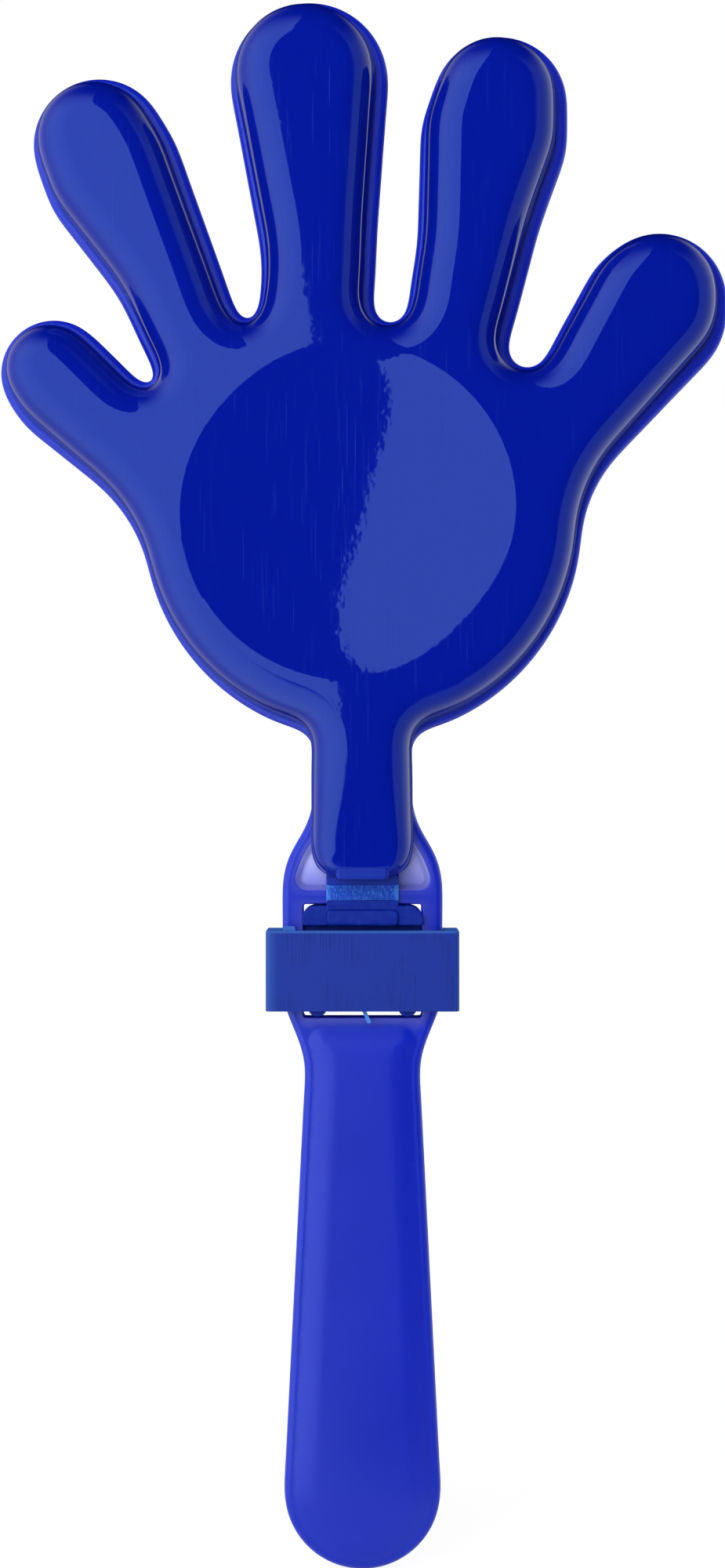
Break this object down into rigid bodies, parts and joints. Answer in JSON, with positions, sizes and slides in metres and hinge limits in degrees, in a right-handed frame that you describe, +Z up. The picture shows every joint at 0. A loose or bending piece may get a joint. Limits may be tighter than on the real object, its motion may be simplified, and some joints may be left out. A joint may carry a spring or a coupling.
{
  "type": "hand clapper",
  "caption": "Party noise maker: a flat hand on a handle between hollow outer hands that swing on living hinges and clap against it, held by a sleeve over their feet.",
  "frame": {"origin": "middle of the grip, on the centre plane of the handle", "axes": "+Z up the fingers, +X towards the thumb, the front hand on the -Y side"},
  "size_m": [0.1295, 0.0226, 0.2786],
  "materials": {
    "handle_plastic": "satin moulded, dark blue",
    "hand_plastic": "polished mould, dark blue",
    "hinge_plastic": "stress-whitened where it flexes, blue",
    "foot_plastic": "satin moulded, dark blue",
    "collar_plastic": "satin with fine drag lines, blue"
  },
  "bodies": {
    "handle": {"handle_centre_hand": "handle_plastic", "front_living_hinge": "hinge_plastic", "front_hinge_foot": "foot_plastic", "rear_living_hinge": "hinge_plastic", "rear_hinge_foot": "foot_plastic", "collar": "collar_plastic"},
    "front_hand": {"front_hand": "hand_plastic"},
    "rear_hand": {"rear_hand": "hand_plastic"}
  },
  "joints": [
    {"name": "front_hand_swing", "type": "hinge", "parent": "handle", "child": "front_hand", "pos_m": [0, -0.0031, 0.0738], "axis": [1, 0, 0], "range_deg": [0, 90], "stiffness_Nm_per_rad": 0.06, "deforming": ["front_living_hinge"]},
    {"name": "rear_hand_swing", "type": "hinge", "parent": "handle", "child": "rear_hand", "pos_m": [0, 0.0031, 0.0738], "axis": [-1, 0, 0], "range_deg": [0, 90], "stiffness_Nm_per_rad": 0.06, "deforming": ["rear_living_hinge"]}
  ]
}
